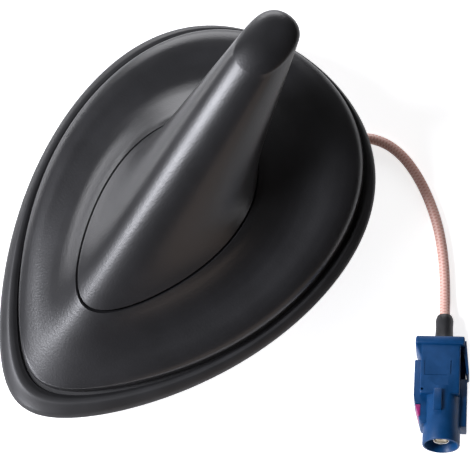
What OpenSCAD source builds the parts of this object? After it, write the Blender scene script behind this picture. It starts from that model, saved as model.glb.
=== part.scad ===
// Shark fin aerial for a car roof: a rubber skirt, a moulded cover with a separate fin piece let into it,
// a cast base plate with a hollow threaded stud, a patch aerial on a small board, and a short coaxial lead
// that ends in a coded plug. Millimetres, +Z away from the roof, nose towards -Y, roof skin at z = 0 and
// the stud's axis on the Z axis.

/* [Overall outline] */
// Length of the rubber skirt, nose to tail
base_len = 104.4; // [96:0.2:120]
// Width of the rubber skirt at its widest
base_w = 76; // [68:0.5:88]
// How far back the stud's axis lies, as a share of the length
stud_share = 0.5364; // [0.5:0.005:0.56]

/* [Skirt] */
// Skirt shown in front of the cover's nose
skirt_nose = 7.0; // [4:0.1:9]
// Skirt shown beside the cover, each side
skirt_side = 3.3; // [2.2:0.05:4.5]
// Skirt shown behind the cover
skirt_tail = 0.7; // [0.6:0.1:2.5]
// Height of the skirt's crest over the roof, at the nose
skirt_crest = 2.7; // [2.3:0.1:3.6]
// Height of the skirt's crest at the tail
tail_crest = 1.7; // [1.6:0.1:2.3]
// Height of the ledge that the cover stands on
skirt_ledge = 1.4; // [1:0.1:1.8]
// Thickness of the skirt's outer edge
skirt_edge = 0.6; // [0.4:0.1:1.1]

/* [Cover] */
// Wall of the cover and the fin piece
wall = 1.8; // [1.4:0.1:2.2]
// Height of the rounded bead round the cover's rim
bead_z = 6.4; // [5.6:0.1:7.4]
// Height of the shallow bowl inside the bead
bowl_z = 5.6; // [5:0.1:6.2]
// Height of the ridge where the bowl begins at the nose
nose_z = 7.0; // [6:0.1:8]

/* [Fin piece] */
// Where the seam begins, as a share of the length from the nose
seam_front_share = 0.256; // [0.23:0.005:0.28]
// Where the seam ends, as a share of the length
seam_back_share = 0.769; // [0.74:0.005:0.8]
// Width across the seam
seam_w = 31.8; // [28:0.1:36]
// Height of the seam on the ridge
seam_z = 11.8; // [10.6:0.1:13]
// Clear gap along the seam
seam_gap = 0.45; // [0.2:0.05:0.5]
// Height of the fin's top
fin_z = 37.4; // [32:0.1:44]
// Where the fin's flat top begins, as a share of the length
top_front_share = 0.8314; // [0.78:0.0025:0.85]
// Length of the fin's top, as a share of the length
top_len_share = 0.151; // [0.12:0.005:0.17]
// Width of the fin's top
top_w = 11.8; // [9:0.1:14]

/* [Base plate and stud] */
// Clearance from the roof to the plate
plate_z = 0.4; // [0.2:0.1:0.8]
// Thickness of the plate
plate_t = 2.6; // [2:0.1:2.8]
// Outside diameter of the stud's thread
stud_d = 14; // [12:0.5:16]
// Bore through the stud
stud_bore = 9; // [7:0.5:10]
// Length of the stud below the roof skin
stud_len = 17; // [15:0.5:22]
// Thickness of the roof skin that the nut clamps
roof_t = 1.0; // [0.7:0.1:1.5]
// Width of the nut across its flats
nut_af = 21; // [19:0.5:24]
// Thickness of the nut
nut_t = 6; // [5:0.5:8]
// Thickness of the toothed washer
washer_t = 1.2; // [0.8:0.1:1.6]
// Diameter of the toothed washer
washer_d = 28; // [25:0.5:32]

/* [Board] */
// Width of the circuit board
board_w = 24; // [22:0.5:25]
// Length of the circuit board, as a share of the seam's length
board_share = 0.541; // [0.5:0.005:0.56]
// Thickness of the circuit board
board_t = 1.6; // [1:0.1:1.8]
// Height of the spacers that carry the board
spacer_h = 3; // [2.6:0.1:3.4]
// Side of the square ceramic patch, as a share of the board's length
patch_share = 0.62; // [0.56:0.01:0.64]
// Thickness of the ceramic patch
patch_t = 4; // [2:0.5:4.5]

/* [Lead and plug] */
// Diameter of the coaxial lead
lead_d = 2.5; // [2.2:0.1:3]
// Length of the boxed part of the plug
plug_box = 13.6; // [12:0.1:15]
// Width of the boxed part of the plug
plug_w = 8.6; // [8.2:0.1:9.6]
// Height of the boxed part of the plug
plug_h = 9.2; // [8.6:0.1:10]
// Length of the plug's round nose
nose_len = 12; // [11:0.1:13]
// Outside diameter of the plug's round nose
nose_d = 8.4; // [8:0.1:8.6]
// Length of the nose's clear end, in front of its wings
nose_free = 4.2; // [3.8:0.1:4.6]
// Wall of the plug's round nose
nose_wall = 0.8; // [0.6:0.05:1]
// Diameter of the plug's outer contact
contact_d = 3.8; // [3.4:0.1:4.2]

/* [Hidden] */

around = 64;
gap = 0.1;
clear = 0.3;
plate_top = plate_z + plate_t;
stud_back = stud_share * base_len;
seam_front = seam_front_share * base_len;
seam_back = seam_back_share * base_len;
seam_len = seam_back - seam_front;
top_front = top_front_share * base_len;
top_len = top_len_share * base_len;

// A closed outline runs from its front y to its back y. Its half width follows the square root that gives
// an egg, times a cubic that makes it fuller or slimmer along its length.
// The nine numbers of an outline are: front, back, width, three cubic terms, and its height at the front,
// at the sides and at the back.
function egg(t, o) = sqrt(t * (1 - t)) * (1 + o[3] * t + o[4] * t * t + o[5] * t * t * t);
function egg_peak(o) = max([for (i = [1:59]) egg(i / 60, o)]);
function height_at(a, o) =
    o[7] + (o[6] - o[7]) * pow(cos(a / 2), 6) + (o[8] - o[7]) * pow(sin(a / 2), 4);
function outline_points(o, n = around) =
    let (peak = egg_peak(o))
    [for (i = [0:n - 1])
        let (a = 360 * i / n, t = (1 - cos(a)) / 2)
        [(sin(a) < 0 ? -1 : 1) * o[2] / 2 * egg(t, o) / peak,
            o[0] + (o[1] - o[0]) * t - stud_back,
            height_at(a, o)]];
function flat_points(o, n = around) = [for (p = outline_points(o, n)) [p[0], p[1]]];
function mix(a, b, k) = a + (b - a) * k;
// The same outline drawn in by a distance all round, and set at one height.
function drawn_in(o, d) = [o[0] + d, o[1] - d, o[2] - 2 * d, o[3], o[4], o[5], o[6], o[7], o[8]];
function at_heights(o, z) = [o[0], o[1], o[2], o[3], o[4], o[5], z[0], z[1], z[2]];
function at_height(o, z) = at_heights(o, [z, z, z]);

outline = [0, base_len, base_w, 1.74, -1.71, 1.13, 0, 0, 0];
rim = [skirt_nose, base_len - skirt_tail, base_w - 2 * skirt_side, 2.37, -2.77, 1.57,
    skirt_ledge, skirt_ledge, skirt_ledge];
seam = [seam_front, seam_back, seam_w, 0.62, 0.45, -0.59, seam_z, seam_z - 0.2, seam_z - 0.4];

// The cover's skin, from rim to seam. Each row gives how far in towards the seam it lies, and how far its
// height has come at the sides and along the nose ridge.
bead_rise = bead_z - skirt_ledge;
cover_rows = [
    [0, skirt_ledge, skirt_ledge],
    [0.006, skirt_ledge + 0.44 * bead_rise, skirt_ledge + 0.44 * bead_rise],
    [0.02, skirt_ledge + 0.68 * bead_rise, skirt_ledge + 0.66 * bead_rise],
    [0.05, skirt_ledge + 0.87 * bead_rise, skirt_ledge + 0.81 * bead_rise],
    [0.1, skirt_ledge + 0.97 * bead_rise, skirt_ledge + 0.92 * bead_rise],
    [0.17, bead_z, mix(bead_z, nose_z, 0.17)],
    [0.28, mix(bead_z, bowl_z, 0.2), nose_z],
    [0.42, mix(bead_z, bowl_z, 0.8), mix(nose_z, seam_z, 0.1)],
    [0.56, bowl_z, mix(nose_z, seam_z, 0.24)],
    [0.7, mix(bowl_z, seam_z, 0.1), mix(nose_z, seam_z, 0.43)],
    [0.84, mix(bowl_z, seam_z, 0.36), mix(nose_z, seam_z, 0.68)],
    [0.93, mix(bowl_z, seam_z, 0.64), mix(nose_z, seam_z, 0.85)]];
cover_rings = [for (c = cover_rows)
    [mix(rim[0], seam[0], c[0]), mix(rim[1], seam[1], c[0]), mix(rim[2], seam[2], c[0]),
        mix(rim[3], seam[3], c[0]), mix(rim[4], seam[4], c[0]), mix(rim[5], seam[5], c[0]),
        c[2], c[1], mix(c[1], seam[8], pow(c[0], 3))]];

// The fin's skin, from seam to top. The ridge rises straight, the tail leans back, and the flanks flare
// out at the foot to meet the seam.
fin_steps = [0.05, 0.11, 0.2, 0.32, 0.46, 0.6, 0.74, 0.88, 1];
foot_w = seam_w - 5.2;
crown_round = 1.8;
crown_z = fin_z - crown_round;
function fin_ring(h) =
    let (z = mix(seam_z, crown_z, h), f = pow(1 - h, 4), low = pow(1 - h, 12))
    [mix(seam_front, top_front, h), mix(seam_back, top_front + top_len, h),
        mix(foot_w, top_w, h) + (seam_w - foot_w) * pow(1 - h, 9),
        seam[3] * f, seam[4] * f, seam[5] * f,
        z, z - 0.2 * low, z - 0.4 * low];
crown_rings = [for (c = [[0.35, 0.5], [1.1, 0.78], [2.4, 0.94], [4, 1]])
    at_height(drawn_in(fin_ring(1), c[0]), mix(crown_z, fin_z, c[1]))];
skin = concat(cover_rings, [seam], [for (h = fin_steps) fin_ring(h)], crown_rings);
seam_index = len(cover_rings);
skin_last = len(skin) - 1;

// A ring at any place along the skin, and the same ring moved square to the skin by a depth.
function skin_at(u) = let (i = min(floor(u), skin_last - 1)) mix(skin[i], skin[i + 1], u - i);
function side_of(o) = [o[2] / 2, o[7]];
function under_skin(u, depth) =
    let (o = skin_at(u),
        t = side_of(skin_at(min(u + 1, skin_last))) - side_of(skin_at(max(u - 1, 0))),
        n = [t[1], -t[0]] / norm(t),
        s = drawn_in(o, depth * n[0]))
    [s[0], s[1], s[2], s[3], s[4], s[5], s[6] - depth * n[1], s[7] - depth * n[1], s[8] - depth * n[1]];

// A solid through a list of outlines: closed on itself like a tyre, or capped flat at both ends.
module loft(rings, looped, n = around) {
    count = len(rings);
    points = [for (o = rings) each outline_points(o, n)];
    sides = [for (j = [0:(looped ? count - 1 : count - 2)])
        let (a = j * n, b = ((j + 1) % count) * n)
        for (i = [0:n - 1])
            let (k = (i + 1) % n)
            each [[a + i, b + i, b + k], [a + i, b + k, a + k]]];
    caps = looped ? [] : [[for (i = [0:n - 1]) i], [for (i = [n - 1:-1:0]) (count - 1) * n + i]];
    polyhedron(points = points, faces = concat(sides, caps), convexity = 8);
}

// Places that several pieces share. The board lies under the fin piece, and the cover's screws stand at
// a fixed share of the way from the seam out to the rim, where the cover has room for a post.
board_z = plate_top + spacer_h;
board_l = board_share * seam_len;
board_y0 = seam_front + 0.295 * seam_len - stud_back;
board_y1 = board_y0 + board_l;
board_inset = 2.5;
board_hole_x = board_w / 2 - board_inset;
board_holes = [for (x = [-1, 1], y = [board_y0 + board_inset, board_y1 - board_inset]) [x * board_hole_x, y]];
patch_w = patch_share * board_l;
patch_back = 5.4;
patch_y = board_y1 - patch_back - patch_w / 2;
screw_nose_y = mix(seam_front, rim[0], 0.274) - stud_back;
screw_tail_y = mix(seam_back, rim[1], 0.277) - stud_back;
screw_side_x = mix(seam_w, rim[2], 0.19) / 2;
cover_screw_places = [
    [0, screw_nose_y, mix(nose_z, seam_z, 0.5) - 0.7 * wall],
    [0, screw_tail_y, mix(bowl_z, seam_z, 0.21)],
    [-screw_side_x, 0, mix(bowl_z, seam_z, 0.065)],
    [screw_side_x, 0, mix(bowl_z, seam_z, 0.065)]];
cover_screw_d = 2.2;
cover_head_d = 4.4;
cover_head_h = 1.2;
boss_d = 5.2;
board_screw_d = 1.6;
board_head_d = 3.4;
board_head_h = 1.2;
board_bite = 2.4;
spacer_d = 4.4;
feed_d = 1.2;
pin_d = 0.9;
lead_angle = 69;
floor_z = -stud_len;
grommet_reach = stud_d / 2 + 1;
slot_w = lead_d + 1.1;
slot_h = lead_d + 0.7;
nut_top = -roof_t - washer_t;
key_w = 6;
key_out = 2.2;
gasket_in = 3.2;
gasket_w = 4.8;
gasket_bore = stud_d + 2 * gasket_in;
gasket_d = gasket_bore + 2 * gasket_w;
groove_h = 1.2;

// The lead's route: out of the stud's slot, along the surface that the stud's end stands on, out from
// under the tail's right side and round to the plug. The plug stands on its collar's rear edge, and the
// lead's set holds its nose up.
lead_z = floor_z + lead_d / 2;
plug_pitch = 17;
plug_turn = -52.5;
boot_len = 7;
plug_at = [64.3, 17.1, floor_z + plug_h / 2 * cos(plug_pitch)];
plug_way = [cos(plug_pitch) * cos(plug_turn), cos(plug_pitch) * sin(plug_turn), sin(plug_pitch)];
lead_route = [
    [2.87, 7.47, lead_z], [4.4, 11.5, lead_z], [5.9, 16, lead_z], [7.3, 20.5, lead_z], [8.6, 25, lead_z],
    [9.9, 29.5, lead_z], [11.3, 34, lead_z], [13, 38.3, lead_z], [15.4, 42.2, lead_z],
    [18.8, 45.2, lead_z], [23.1, 46.7, lead_z], [27.7, 46.7, lead_z], [32.2, 45.6, lead_z],
    [36.6, 43.8, lead_z], [40.8, 41.5, lead_z], [44.7, 38.9, lead_z], [48.2, 36, lead_z],
    [51.5, 32.8, lead_z], [54.5, 29.5, lead_z], [57.4, 26, lead_z + 0.15], [58.8, 24.2, lead_z + 0.5],
    plug_at - boot_len * plug_way];

module in_plug() {
    translate(plug_at) rotate([0, -plug_pitch, plug_turn]) children();
}
module rod(x0, x1, d, fn = 48) {
    translate([x0, 0, 0]) rotate([0, 90, 0]) cylinder(h = x1 - x0, d = d, $fn = fn);
}
module block(x0, x1, y0, y1, z0, z1) {
    translate([x0, y0, z0]) cube([x1 - x0, y1 - y0, z1 - z0]);
}

// Soft rubber: a thin outer edge, a rounded crest, and inside it a ledge under the cover's rim.
ledge_in = 4.4;
function rim_share(k) = [for (i = [0:8]) mix(outline[i], rim[i], k)];
module skirt_seal() {
    crest = [skirt_crest, mix(tail_crest, skirt_crest, 0.3), tail_crest];
    color([0.1, 0.1, 0.11])
        loft([
            at_height(outline, 0),
            at_height(outline, skirt_edge),
            at_heights(rim_share(0.14), [for (z = crest) mix(skirt_edge, z, 0.62)]),
            at_heights(rim_share(0.5), crest),
            at_heights(rim_share(0.82), [for (z = crest) mix(skirt_ledge, z, 0.9)]),
            at_heights(drawn_in(rim, -0.3), [for (z = crest) mix(skirt_ledge, z, 0.5)]),
            at_height(drawn_in(rim, -0.2), skirt_ledge),
            at_height(drawn_in(rim, ledge_in), skirt_ledge),
            at_height(drawn_in(rim, ledge_in), 0)], true);
}

// Moulded cover: a rounded bead, a shallow bowl and flanks that rise to the seam, with four screw posts.
module base_cover() {
    half = seam_gap / 2 / norm(side_of(skin_at(seam_index)) - side_of(skin_at(seam_index - 1)));
    end = seam_index - half;
    color([0.13, 0.13, 0.14])
        difference() {
            union() {
                loft(concat(
                    [for (i = [0:seam_index - 1]) under_skin(i, 0)],
                    [under_skin(end, 0), under_skin(end, wall)],
                    [for (i = [seam_index - 1:-1:1]) under_skin(i, wall)],
                    [at_height(drawn_in(rim, wall), skirt_ledge)]), true);
                for (s = cover_screw_places)
                    translate([s[0], s[1], plate_top]) cylinder(h = s[2] - plate_top, d = boss_d, $fn = 32);
            }
            for (s = cover_screw_places)
                translate([s[0], s[1], plate_top - 1])
                    cylinder(h = s[2] - plate_top + 0.4, d = cover_screw_d, $fn = 24);
        }
}

// The fin piece drops out through the seam from below, so its flange is caught under the cover.
flange_w = 0.75;
flange_t = 1.1;
module fin_cover() {
    half = seam_gap / 2 / norm(side_of(skin_at(seam_index)) - side_of(skin_at(seam_index + 1)));
    start = seam_index + half;
    color([0.13, 0.13, 0.14])
        loft(concat(
            [for (i = [skin_last:-1:seam_index + 1]) under_skin(i, 0)],
            [under_skin(start, 0)],
            [under_skin(start, wall + clear)],
            [under_skin(seam_index - flange_w, wall + clear)],
            [under_skin(seam_index - flange_w, wall + clear + flange_t)],
            [under_skin(start, wall + clear + flange_t)],
            [for (i = [seam_index + 2:1:skin_last - 5]) under_skin(i, wall)],
            [at_height(under_skin(skin_last - 4, wall), fin_z - wall)]), false);
}

// Cast plate: it carries the board on four spacers, and its hollow stud goes through the roof.
module base_plate() {
    color([0.62, 0.63, 0.65])
        difference() {
            union() {
                translate([0, 0, plate_z]) linear_extrude(plate_t)
                    polygon(flat_points(drawn_in(rim, ledge_in + gap)));
                translate([0, 0, floor_z]) cylinder(h = plate_top - floor_z, d = stud_d, $fn = 96);
                for (p = board_holes)
                    translate([p[0], p[1], plate_top - gap]) cylinder(h = spacer_h + gap, d = spacer_d, $fn = 32);
                translate([-key_w / 2, 0, gap - roof_t])
                    cube([key_w, stud_d / 2 + key_out, roof_t + plate_z + 3 * gap]);
            }
            translate([0, 0, floor_z - 1]) cylinder(h = plate_top - floor_z + 2, d = stud_bore, $fn = 96);
            rotate([0, 0, lead_angle])
                translate([0, -slot_w / 2, floor_z - 1]) cube([stud_d, slot_w, slot_h + 1]);
            for (p = board_holes)
                translate([p[0], p[1], plate_top]) cylinder(h = spacer_h + 1, d = board_screw_d, $fn = 24);
            for (s = cover_screw_places)
                translate([s[0], s[1], 0]) {
                    cylinder(h = plate_top + 1, d = cover_screw_d + 2 * clear, $fn = 32);
                    cylinder(h = plate_z + cover_head_h + gap, d = cover_head_d + 2 * clear, $fn = 32);
                }
            difference() {
                cylinder(h = plate_z + groove_h, d = gasket_d + 2 * gap, $fn = 96);
                translate([0, 0, -1]) cylinder(h = plate_top + 1, d = gasket_bore - 2 * gap, $fn = 96);
            }
        }
}

// Foam ring in the groove round the stud.
module stud_gasket() {
    color([0.05, 0.05, 0.05])
        difference() {
            cylinder(h = plate_z + groove_h, d = gasket_d, $fn = 96);
            translate([0, 0, -1]) cylinder(h = plate_z + groove_h + 2, d = gasket_bore, $fn = 96);
        }
}

// Spring steel washer: a ring of teeth bites the underside of the roof.
tooth = 3.2;
module toothed_washer() {
    teeth = 12;
    color([0.75, 0.72, 0.5])
        difference() {
            union() {
                translate([0, 0, nut_top]) cylinder(h = washer_t, d = washer_d - 1.25 * tooth, $fn = 96);
                for (i = [0:teeth - 1])
                    rotate([0, 0, 360 * i / teeth])
                        translate([washer_d / 2 - tooth, -tooth / 2, nut_top])
                            rotate([0, -8, 0]) cube([tooth, tooth, washer_t - 0.4]);
            }
            translate([0, 0, nut_top - 1]) cylinder(h = washer_t + 2, d = stud_d + 2 * clear, $fn = 96);
        }
}

// Flanged hexagon nut. The thread itself is too fine to be cut here.
nut_flange = 1.5;
nut_flange_t = 1.4;
module mounting_nut() {
    color([0.72, 0.72, 0.74])
        difference() {
            union() {
                translate([0, 0, nut_top - nut_t]) cylinder(h = nut_t, d = nut_af / cos(30), $fn = 6);
                translate([0, 0, nut_top - nut_flange_t])
                    cylinder(h = nut_flange_t, d = nut_af + 2 * nut_flange, $fn = 64);
            }
            translate([0, 0, nut_top - nut_t - 1]) cylinder(h = nut_t + 2, d = stud_d + gap, $fn = 96);
        }
}

// Four screws hold the cover to the plate from below, their heads sunk in the plate.
module cover_screws() {
    color([0.3, 0.3, 0.32])
        for (s = cover_screw_places)
            translate([s[0], s[1], 0]) {
                translate([0, 0, plate_z]) cylinder(h = cover_head_h, d = cover_head_d, $fn = 32);
                translate([0, 0, plate_z + gap])
                    cylinder(h = s[2] - plate_z - cover_head_h + gap, d = cover_screw_d - gap, $fn = 24);
            }
}

// Glass fibre board with clipped front corners, a feed hole and four screw holes.
board_clip = 1.6;
module circuit_board() {
    c = board_clip;
    x = board_w / 2;
    color([0.1, 0.35, 0.18])
        difference() {
            translate([0, 0, board_z]) linear_extrude(board_t)
                polygon([[-x + c, board_y0], [x - c, board_y0], [x, board_y0 + c], [x, board_y1],
                    [-x, board_y1], [-x, board_y0 + c]]);
            for (p = board_holes)
                translate([p[0], p[1], board_z - 1]) cylinder(h = board_t + 2, d = board_screw_d + 2 * clear, $fn = 24);
            translate([0, patch_y, board_z - 1]) cylinder(h = board_t + 2, d = feed_d, $fn = 24);
        }
}

module board_screws() {
    color([0.75, 0.75, 0.77])
        for (p = board_holes)
            translate([p[0], p[1], 0]) {
                translate([0, 0, board_z + board_t]) cylinder(h = board_head_h, d = board_head_d, $fn = 24);
                translate([0, 0, board_z - board_bite])
                    cylinder(h = board_t + board_bite + gap, d = board_screw_d - gap, $fn = 24);
            }
}

// Square ceramic block of the patch aerial, drilled for its feed.
module patch_ceramic() {
    color([0.85, 0.8, 0.7])
        difference() {
            translate([-patch_w / 2, patch_y - patch_w / 2, board_z + board_t])
                cube([patch_w, patch_w, patch_t]);
            translate([0, patch_y, board_z]) cylinder(h = board_t + patch_t + 2, d = feed_d, $fn = 24);
        }
}

// Silver film fired on the ceramic, with two corners cut off as on any such patch.
film_t = 0.1;
film_inset = 1.8;
film_clip = 2;
module patch_film() {
    h = patch_w / 2 - film_inset;
    c = film_clip;
    color([0.8, 0.8, 0.8])
        difference() {
            translate([0, patch_y, board_z + board_t + patch_t]) linear_extrude(film_t)
                polygon([[-h + c, -h], [h, -h], [h, h - c], [h - c, h], [-h, h], [-h, -h + c]]);
            translate([0, patch_y, board_z]) cylinder(h = board_t + patch_t + 2, d = feed_d, $fn = 24);
        }
}

pin_head_d = 2.2;
pin_head_h = 0.4;
module patch_feed_pin() {
    color([0.8, 0.7, 0.4])
        translate([0, patch_y, 0]) {
            translate([0, 0, board_z]) cylinder(h = board_t + patch_t + film_t + gap, d = pin_d, $fn = 24);
            translate([0, 0, board_z + board_t + patch_t + film_t])
                cylinder(h = pin_head_h, d = pin_head_d, $fn = 24);
        }
}

// Folded tin can over the amplifier, soldered to the board's underside.
can_w = 13;
can_l = 6.8;
can_front = 0.8;
can_wall = 0.3;
module shield_can() {
    x = can_w / 2;
    y0 = board_y0 + can_front;
    y1 = y0 + can_l;
    z0 = plate_top + gap + can_wall;
    w = can_wall;
    color([0.78, 0.78, 0.8])
        difference() {
            block(-x, x, y0, y1, z0, board_z);
            block(-x + w, x - w, y0 + w, y1 - w, z0 + w, board_z + 1);
        }
}

// The lead's own run down the stud, from the board to the grommet.
module lead_root() {
    color([0.78, 0.6, 0.52])
        translate([0, 0, floor_z + slot_h + 1]) cylinder(h = board_z - floor_z - slot_h - 1, d = lead_d, $fn = 32);
}

// Rubber grommet that closes the stud and turns the lead out through the slot.
module lead_grommet() {
    color([0.07, 0.07, 0.07])
        union() {
            translate([0, 0, floor_z]) cylinder(h = slot_h + 1, d = stud_bore - 2 * gap, $fn = 64);
            rotate([0, 0, lead_angle])
                block(0, grommet_reach, -slot_w / 2 + gap, slot_w / 2 - gap, floor_z, floor_z + slot_h - gap);
        }
}

// Free coaxial lead: a tube swept along its route. It leaves square to the grommet and enters square to
// the boot.
lead_sides = 8;
function tangent(i) =
    i == 0 ? [cos(lead_angle), sin(lead_angle), 0] :
    i == len(lead_route) - 1 ? plug_way :
    (lead_route[i + 1] - lead_route[i - 1]) / norm(lead_route[i + 1] - lead_route[i - 1]);
function lead_ring(i) = let (t = tangent(i), s = [t[1], -t[0], 0] / norm([t[1], -t[0]]), u = cross(s, t))
    [for (k = [0:lead_sides - 1]) lead_route[i]
        + lead_d / 2 / cos(180 / lead_sides) * (s * cos(360 * (k + 0.5) / lead_sides)
        + u * sin(360 * (k + 0.5) / lead_sides))];
module lead() {
    n = len(lead_route);
    m = lead_sides;
    color([0.82, 0.62, 0.54])
        polyhedron(
            points = [for (i = [0:n - 1]) each lead_ring(i)],
            faces = concat(
                [[for (k = [0:m - 1]) k]],
                [[for (k = [m - 1:-1:0]) (n - 1) * m + k]],
                [for (i = [0:n - 2], k = [0:m - 1]) let (q = (k + 1) % m)
                    each [[i * m + k, (i + 1) * m + k, (i + 1) * m + q],
                        [i * m + k, (i + 1) * m + q, i * m + q]]]));
}

// Short black sleeve over the crimp, behind the plug.
boot_d = 4.1;
boot_foot_d = 4.5;
boot_foot = 0.9;
module plug_boot() {
    color([0.06, 0.06, 0.06]) in_plug() union() {
        rod(-boot_len, 0, boot_d);
        rod(-boot_foot, 0, boot_foot_d);
    }
}

ferrule_d = 3.4;
contact_seat = 4;
module plug_ferrule() {
    color([0.75, 0.72, 0.6]) in_plug() rod(0, plug_box - contact_seat, ferrule_d);
}

// Blue plug housing, seen from above with its mouth in front: a boxed body with a lipped rear collar, a
// spring arm on the right, a wing on each side of the round nose, and a key rib on top of it. The left
// wing tapers into the nose and carries the lock in a slot.
half_w = plug_w / 2;
half_h = plug_h / 2;
plug_len = plug_box + nose_len;
collar_l = 2.2;
collar_side = 0.9;
collar_top = 0.5;
wing_out = half_w + 1.25;
wing_floor = -3.2;
wing_left = 5.5;
wing_right = 9.5;
wing_left_top = 2.6;
wing_right_top = 1.2;
wing_end = plug_len - nose_free - gap;
taper_x = plug_box + 1.2;
lock_x = plug_box + 2.7;
lock_l = 2.8;
rib_w = 1.9;
rib_l = 4.9;
rib_h = 0.85;
rib_y = -0.9;
nose_root_d = nose_d + 3 * gap;
slit = 0.2;
slit_x0 = 6;
slit_x1 = 9.8;
slit_y = 2.8;
function left_wing_y(x) = mix(wing_out, nose_d / 2, (x - taper_x) / (wing_end - taper_x));
module slab(points, z0, z1) {
    translate([0, 0, z0]) linear_extrude(z1 - z0) polygon(points);
}
module plug_housing() {
    color([0.05, 0.3, 0.6]) in_plug() difference() {
        union() {
            block(0, collar_l, -half_w - collar_side, half_w + collar_side, -half_h, half_h);
            block(collar_l - gap, plug_box, -half_w, half_w, -half_h, half_h - collar_top);
            slab([[0.4, half_w], [0.4, half_w + collar_side], [8.6, wing_out + 0.4], [9, wing_out + 0.1],
                [8.6, wing_out - 0.2], [4, half_w + 0.5], [collar_l, half_w - gap]], -2, 1.6);
            slab([[wing_right, 0], [wing_right, wing_out], [wing_end, wing_out], [wing_end, 0]],
                wing_floor, wing_right_top);
            difference() {
                slab([[wing_left, -wing_out], [taper_x, -wing_out], [wing_end, -nose_d / 2], [wing_end, 0],
                    [wing_left, 0]], wing_floor, wing_left_top);
                block(lock_x, lock_x + lock_l + 2 * gap, -wing_out - 1, 0, wing_floor + clear, half_h);
            }
            block(plug_box - gap, plug_box + rib_l, rib_y - rib_w / 2, rib_y + rib_w / 2, 0, nose_d / 2 + rib_h);
            translate([plug_box - gap, 0, 0]) rotate([0, 90, 0])
                cylinder(h = nose_len - nose_free + gap, d1 = nose_root_d, d2 = nose_d, $fn = 96);
            rod(plug_box, plug_len, nose_d, 96);
        }
        rod(plug_box + 1, plug_len + 1, nose_d - 2 * nose_wall, 96);
        rod(plug_box - contact_seat, plug_box + 2, contact_d + 2 * gap, 48);
        rod(-1, plug_box - contact_seat + 1, ferrule_d + 2 * gap, 48);
        difference() {
            block(slit_x0, slit_x1, -slit_y, slit_y, half_h - collar_top - 2 * slit, half_h);
            block(slit_x0 + slit, slit_x1 - slit, -slit_y + slit, slit_y - slit, 0, half_h + 1);
        }
    }
}

// Small pink secondary lock in the left wing's slot.
module plug_lock() {
    x0 = lock_x + gap;
    x1 = x0 + lock_l;
    color([0.8, 0.15, 0.55]) in_plug() difference() {
        slab([[x0, -left_wing_y(x0)], [x1, -left_wing_y(x1)], [x1, 0], [x0, 0]],
            wing_floor + clear + gap, wing_left_top - gap);
        rod(lock_x - 1, lock_x + lock_l + 1, nose_root_d + gap, 96);
    }
}

contact_t = 0.35;
contact_back = 1.2;
insulator_back = 1.6;
centre_back = 1.8;
centre_d = 0.9;
module plug_outer_contact() {
    color([0.82, 0.82, 0.82]) in_plug() difference() {
        rod(plug_box - contact_seat, plug_len - contact_back, contact_d, 48);
        rod(plug_box - contact_seat - 1, plug_len, contact_d - 2 * contact_t, 48);
    }
}

module plug_insulator() {
    color([0.92, 0.9, 0.84]) in_plug() difference() {
        rod(plug_box - contact_seat, plug_len - insulator_back, contact_d - 2 * contact_t - 2 * gap, 48);
        rod(plug_box - contact_seat - 1, plug_len, centre_d + 2 * gap, 24);
    }
}

module plug_centre_contact() {
    color([0.85, 0.7, 0.3]) in_plug() rod(plug_box - contact_seat, plug_len - centre_back, centre_d, 24);
}

skirt_seal();
base_cover();
fin_cover();
base_plate();
stud_gasket();
toothed_washer();
mounting_nut();
cover_screws();
circuit_board();
board_screws();
patch_ceramic();
patch_film();
patch_feed_pin();
shield_can();
lead_root();
lead_grommet();
lead();
plug_boot();
plug_ferrule();
plug_housing();
plug_lock();
plug_outer_contact();
plug_insulator();
plug_centre_contact();
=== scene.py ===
"""A shark fin aerial for a car roof, with its short coaxial lead and coded plug. Metres, +Z away from the
roof, nose towards -Y, roof skin at z = 0 and the stud's axis on the Z axis, as in the frame."""
import math
import bpy
import bmesh
import numpy as np
from mathutils import Matrix, Vector


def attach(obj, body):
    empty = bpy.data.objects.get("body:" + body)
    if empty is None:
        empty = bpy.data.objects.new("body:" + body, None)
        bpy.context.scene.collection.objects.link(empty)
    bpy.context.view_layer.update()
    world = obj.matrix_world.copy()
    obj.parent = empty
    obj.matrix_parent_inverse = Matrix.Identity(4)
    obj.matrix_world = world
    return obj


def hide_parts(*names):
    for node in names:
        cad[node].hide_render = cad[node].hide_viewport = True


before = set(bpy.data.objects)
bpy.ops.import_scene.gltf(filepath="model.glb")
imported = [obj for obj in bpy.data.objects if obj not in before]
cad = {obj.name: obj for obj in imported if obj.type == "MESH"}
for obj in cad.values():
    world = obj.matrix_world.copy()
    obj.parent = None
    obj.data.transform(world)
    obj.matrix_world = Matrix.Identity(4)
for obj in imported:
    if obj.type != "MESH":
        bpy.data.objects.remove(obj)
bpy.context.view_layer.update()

MM = 0.001

# ---- Camera ----
# It stands where the photograph was taken: 415 mm from the roof plane and 74 degrees above it, on the
# aerial's right side and a little towards the nose, turned so that the nose points to the lower left.
PHOTO_PX = 470
FOCAL_PX = 1800
SENSOR_W = 36
camera = bpy.data.objects.new("camera", bpy.data.cameras.new("camera"))
camera.data.sensor_width = SENSOR_W
camera.data.lens = SENSOR_W * FOCAL_PX / PHOTO_PX
camera.data.clip_start = 0.01
camera.data.clip_end = 20
view_right = Vector((0.7568, 0.6393, -0.1361))
view_up = Vector((-0.6031, 0.7633, 0.2316))
view_back = Vector((0.2519, -0.0932, 0.9633))
camera_at = Vector((117.28, -33.26, 399.39)) * MM
turn = Matrix((view_right, view_up, view_back)).transposed().to_4x4()
camera.matrix_world = Matrix.Translation(camera_at) @ turn
bpy.context.scene.collection.objects.link(camera)
bpy.context.scene.camera = camera


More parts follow.
